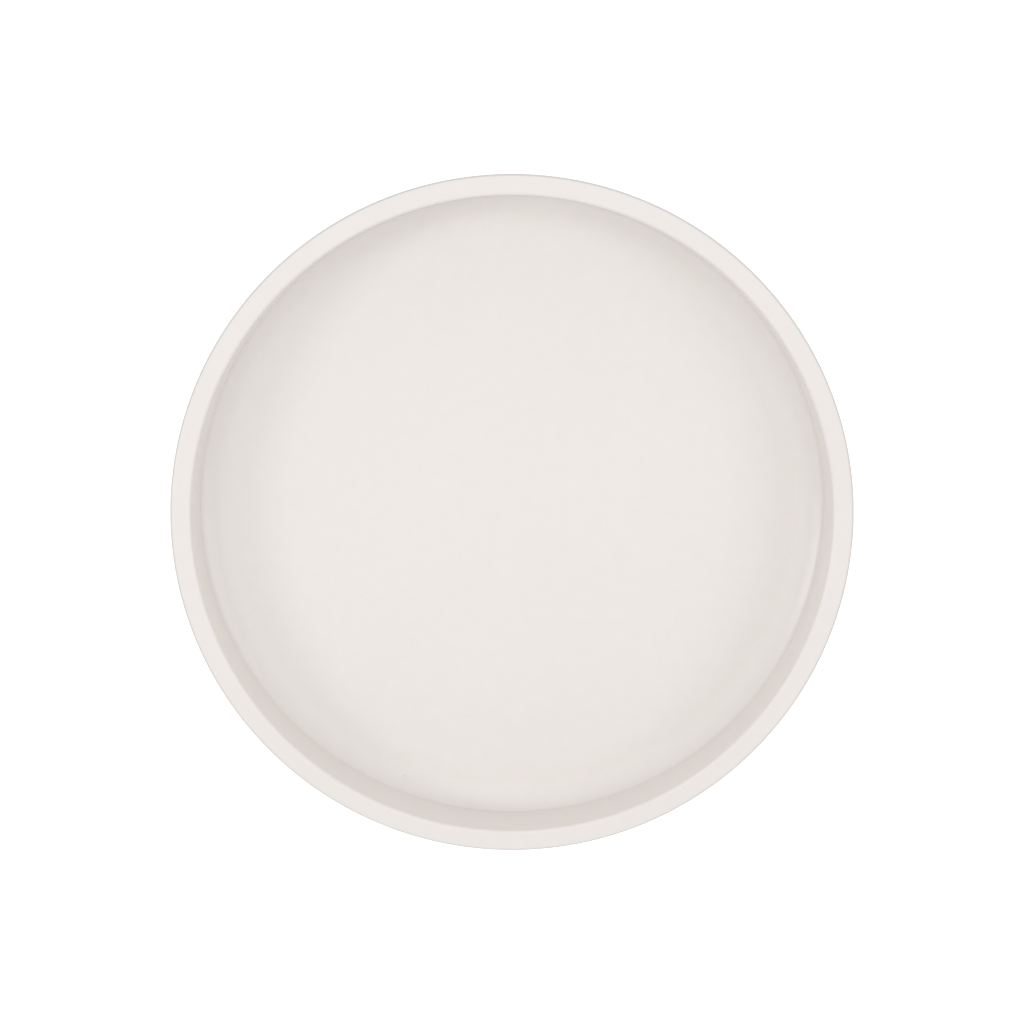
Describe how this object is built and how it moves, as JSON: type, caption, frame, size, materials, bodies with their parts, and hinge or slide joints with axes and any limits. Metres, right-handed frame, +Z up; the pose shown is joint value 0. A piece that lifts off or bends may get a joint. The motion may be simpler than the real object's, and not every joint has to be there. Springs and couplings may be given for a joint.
{
  "type": "lazy susan turntable",
  "caption": "Round moulded tray with a flat lip and deep coved floor that turns on a ring of steel balls over a low ribbed base with rubber feet.",
  "frame": {"origin": "on the turning axis, in the plane that the rubber feet stand on", "axes": "+Z up along the turning axis; +X through the middle of foot_1 and ball_1; the shape repeats every 60 degrees about Z"},
  "size_m": [0.305, 0.305, 0.0555],
  "materials": {
    "tray_plastic": "warm off-white satin moulded plastic with very faint flecks",
    "base_plastic": "pale warm grey moulded plastic with a fine texture",
    "nylon": "natural nylon, slightly waxy",
    "zinc_steel": "zinc-plated steel",
    "ball_steel": "polished bearing steel",
    "foot_rubber": "soft dark grey rubber"
  },
  "bodies": {
    "base": {"base": "base_plastic", "pivot_bush": "nylon", "hub_cap": "base_plastic", "foot_1": "foot_rubber", "foot_2": "foot_rubber", "foot_3": "foot_rubber", "foot_4": "foot_rubber", "foot_5": "foot_rubber", "foot_6": "foot_rubber"},
    "tray": {"tray": "tray_plastic", "pivot_screw": "zinc_steel", "pivot_washer": "zinc_steel"},
    "ball_cage": {"ball_cage": "nylon"},
    "ball_1": {"ball_1": "ball_steel"},
    "ball_2": {"ball_2": "ball_steel"},
    "ball_3": {"ball_3": "ball_steel"},
    "ball_4": {"ball_4": "ball_steel"},
    "ball_5": {"ball_5": "ball_steel"},
    "ball_6": {"ball_6": "ball_steel"},
    "ball_7": {"ball_7": "ball_steel"},
    "ball_8": {"ball_8": "ball_steel"},
    "ball_9": {"ball_9": "ball_steel"},
    "ball_10": {"ball_10": "ball_steel"},
    "ball_11": {"ball_11": "ball_steel"},
    "ball_12": {"ball_12": "ball_steel"}
  },
  "joints": [
    {"name": "tray_spin", "type": "hinge", "parent": "base", "child": "tray", "pos_m": [0, 0, 0.0117], "axis": [0, 0, 1], "continuous": true},
    {"name": "cage_orbit", "type": "hinge", "parent": "base", "child": "ball_cage", "pos_m": [0, 0, 0.0117], "axis": [0, 0, 1], "continuous": true},
    {"name": "ball_1_roll", "type": "hinge", "parent": "ball_cage", "child": "ball_1", "pos_m": [0.09, 0, 0.0117], "axis": [1, 0, 0], "continuous": true},
    {"name": "ball_2_roll", "type": "hinge", "parent": "ball_cage", "child": "ball_2", "pos_m": [0.07794, 0.045, 0.0117], "axis": [0.866, 0.5, 0], "continuous": true},
    {"name": "ball_3_roll", "type": "hinge", "parent": "ball_cage", "child": "ball_3", "pos_m": [0.045, 0.07794, 0.0117], "axis": [0.5, 0.866, 0], "continuous": true},
    {"name": "ball_4_roll", "type": "hinge", "parent": "ball_cage", "child": "ball_4", "pos_m": [0, 0.09, 0.0117], "axis": [0, 1, 0], "continuous": true},
    {"name": "ball_5_roll", "type": "hinge", "parent": "ball_cage", "child": "ball_5", "pos_m": [-0.045, 0.07794, 0.0117], "axis": [-0.5, 0.866, 0], "continuous": true},
    {"name": "ball_6_roll", "type": "hinge", "parent": "ball_cage", "child": "ball_6", "pos_m": [-0.07794, 0.045, 0.0117], "axis": [-0.866, 0.5, 0], "continuous": true},
    {"name": "ball_7_roll", "type": "hinge", "parent": "ball_cage", "child": "ball_7", "pos_m": [-0.09, 0, 0.0117], "axis": [-1, 0, 0], "continuous": true},
    {"name": "ball_8_roll", "type": "hinge", "parent": "ball_cage", "child": "ball_8", "pos_m": [-0.07794, -0.045, 0.0117], "axis": [-0.866, -0.5, 0], "continuous": true},
    {"name": "ball_9_roll", "type": "hinge", "parent": "ball_cage", "child": "ball_9", "pos_m": [-0.045, -0.07794, 0.0117], "axis": [-0.5, -0.866, 0], "continuous": true},
    {"name": "ball_10_roll", "type": "hinge", "parent": "ball_cage", "child": "ball_10", "pos_m": [0, -0.09, 0.0117], "axis": [0, -1, 0], "continuous": true},
    {"name": "ball_11_roll", "type": "hinge", "parent": "ball_cage", "child": "ball_11", "pos_m": [0.045, -0.07794, 0.0117], "axis": [0.5, -0.866, 0], "continuous": true},
    {"name": "ball_12_roll", "type": "hinge", "parent": "ball_cage", "child": "ball_12", "pos_m": [0.07794, -0.045, 0.0117], "axis": [0.866, -0.5, 0], "continuous": true}
  ],
  "couplings": [
    {"joint": "cage_orbit", "follows": "tray_spin", "ratio": 0.5},
    {"joint": "ball_1_roll", "follows": "tray_spin", "ratio": -15},
    {"joint": "ball_2_roll", "follows": "tray_spin", "ratio": -15},
    {"joint": "ball_3_roll", "follows": "tray_spin", "ratio": -15},
    {"joint": "ball_4_roll", "follows": "tray_spin", "ratio": -15},
    {"joint": "ball_5_roll", "follows": "tray_spin", "ratio": -15},
    {"joint": "ball_6_roll", "follows": "tray_spin", "ratio": -15},
    {"joint": "ball_7_roll", "follows": "tray_spin", "ratio": -15},
    {"joint": "ball_8_roll", "follows": "tray_spin", "ratio": -15},
    {"joint": "ball_9_roll", "follows": "tray_spin", "ratio": -15},
    {"joint": "ball_10_roll", "follows": "tray_spin", "ratio": -15},
    {"joint": "ball_11_roll", "follows": "tray_spin", "ratio": -15},
    {"joint": "ball_12_roll", "follows": "tray_spin", "ratio": -15}
  ]
}
